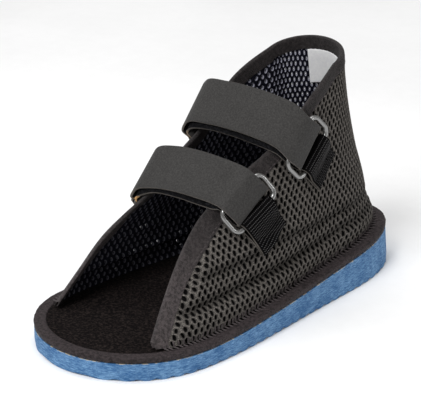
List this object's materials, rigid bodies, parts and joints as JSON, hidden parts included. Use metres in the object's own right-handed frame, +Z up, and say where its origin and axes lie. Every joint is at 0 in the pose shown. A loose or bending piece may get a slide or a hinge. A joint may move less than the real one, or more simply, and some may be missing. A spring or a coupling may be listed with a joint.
{
  "type": "cast shoe",
  "caption": "Open-toe cast shoe with a wedge foam sole, a taped spacer-mesh upper, and instep straps that loop back through rings on webbing tabs.",
  "frame": {"origin": "centre of the shoe's box on the ground under the sole", "axes": "+Z up, +Y from toe to heel, +X to the side that carries the rings"},
  "size_m": [0.1282, 0.285, 0.16],
  "materials": {
    "foam": "matt sanded closed-cell foam with faint streaks",
    "felt": "black felt",
    "rim_tape": "smooth dark brown-black tape",
    "mesh": "black-olive spacer mesh with oval holes",
    "edge_tape": "smooth dark tape folded over the edge",
    "strap": "warm grey soft strap with a fine grain",
    "ring": "dark grey moulded bar with a soft sheen",
    "webbing": "black hook webbing",
    "label": "blank satin tag"
  },
  "bodies": {
    "root": {"outsole": "foam", "insole": "felt", "rim_binding": "rim_tape", "upper": "mesh", "collar_binding": "edge_tape", "strap_front": "strap", "strap_rear": "strap", "ring_front": "ring", "ring_rear": "ring", "tab_front": "webbing", "tab_rear": "webbing", "label": "label"}
  },
  "joints": []
}
